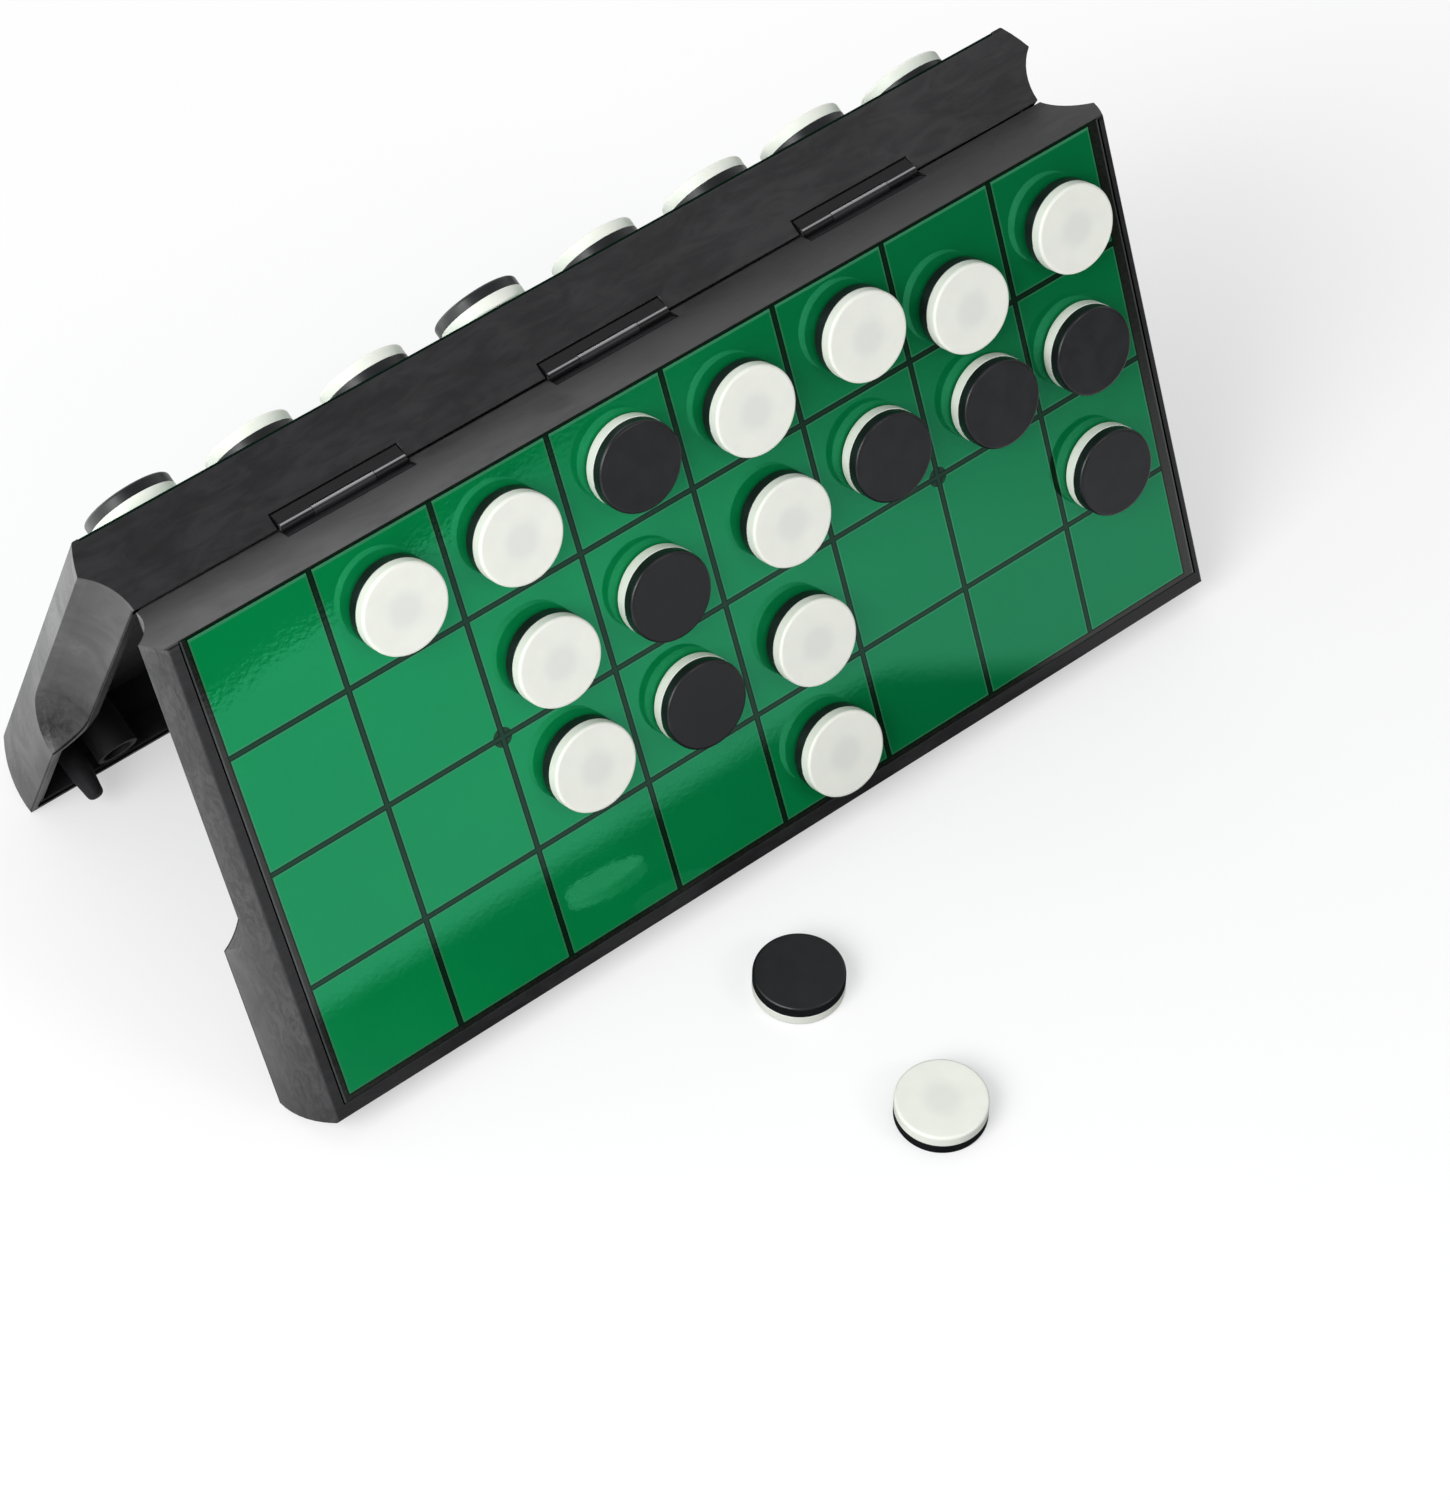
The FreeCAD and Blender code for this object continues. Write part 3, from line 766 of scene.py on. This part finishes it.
# Studio surround, brightest behind near the horizon and dimmer overhead.
def makeWorld():
    look = worldLook
    world = bpy.data.worlds.new("studio")
    bpy.context.scene.world = world
    world.use_nodes = True
    world.node_tree.nodes.clear()
    add = partial(addNode, world.node_tree)
    parts = add("SeparateXYZ", (add("TexCoord").outputs["Generated"],)).outputs
    rays = add("LightPath").outputs
    share = add("MapRange", (parts[0], *look["leftToRight"]), **smooth)
    glossy = add("Mix", {0: share, 6: look["glossyLeft"], 7: look["glossyRight"]}, **rgba).outputs[2]
    back = add("Mix", {0: rays["Is Glossy Ray"], 6: look["back"], 7: glossy}, **rgba).outputs[2]
    share = add("MapRange", (parts[1], *look["frontToBack"]), **smooth)
    around = add("Mix", {0: share, 6: look["front"], 7: back}, **rgba).outputs[2]
    share = add("MapRange", (parts[2], *look["upwards"]), **smooth)
    shade = add("Mix", {0: share, 6: around, 7: look["overhead"]}, **rgba).outputs[2]
    strength = add("Math", (rays["Is Camera Ray"], look["cameraStrength"], look["strength"]),
                   operation="MULTIPLY_ADD")
    add("OutputWorld", (add("Background", {"Color": shade, "Strength": strength}),))


# place and target in metres, size of the square lamp in metres, power in watts
lamps = {
    "key": {"place": (-0.66, -0.22, 0.6), "target": (0, 0, 0.04), "size": 0.5, "power": 6.6},
    "front": {"place": (0.42, -0.95, 0.72), "target": (0, 0, 0.06), "size": 0.3, "power": 1.9},
}


def makeLamp(name, place, target, size, power):
    light = bpy.data.lights.new(name, "AREA")
    light.shape = "SQUARE"
    light.size = size
    light.energy = power
    lamp = bpy.data.objects.new(name, light)
    lamp.location = place
    lamp.rotation_mode = "QUATERNION"
    lamp.rotation_quaternion = (Vector(target) - Vector(place)).to_track_quat("-Z", "Y")
    bpy.context.scene.collection.objects.link(lamp)


cameraView = {
    "place": (-0.304089, -0.408545, 0.644832),
    "azimuth": 38.947184,       # degrees, clockwise from straight back
    "elevation": 52.566616,     # degrees, looking down
    "roll": 1.148262,
    "focalLength": 4655.19,     # pixels of the photograph
    "imageWidth": 1450,
    "sensor": 36.0,             # millimetres
}


# Camera solved from the photograph's grid and outline.
def makeCamera():
    view = cameraView
    azimuth, elevation, roll = (math.radians(view[name]) for name in ("azimuth", "elevation", "roll"))
    level = math.cos(elevation)
    forward = Vector((math.sin(azimuth) * level, math.cos(azimuth) * level, -math.sin(elevation)))
    right = forward.cross(Vector((0, 0, 1))).normalized()
    up = right.cross(forward)
    rolledRight = math.cos(roll) * right + math.sin(roll) * up
    rolledUp = -math.sin(roll) * right + math.cos(roll) * up
    data = bpy.data.cameras.new("camera")
    data.sensor_width = view["sensor"]
    data.sensor_fit = "HORIZONTAL"
    data.lens = view["focalLength"] / view["imageWidth"] * view["sensor"]
    data.clip_start, data.clip_end = 0.05, 20
    # the photograph's points were read at pixel centres, half a pixel up and left of the frame's
    halfPixel = 0.5 / view["imageWidth"]
    data.shift_x, data.shift_y = -halfPixel, halfPixel
    camera = bpy.data.objects.new("camera", data)
    turn = Matrix((rolledRight, rolledUp, -forward)).transposed()
    camera.matrix_world = Matrix.Translation(view["place"]) @ turn.to_4x4()
    bpy.context.scene.collection.objects.link(camera)
    bpy.context.scene.camera = camera


makeFloor()
makeWorld()
for name, lamp in lamps.items():
    makeLamp(name, **lamp)
makeCamera()
bpy.context.scene.view_settings.view_transform = "Standard"
print("studio made")
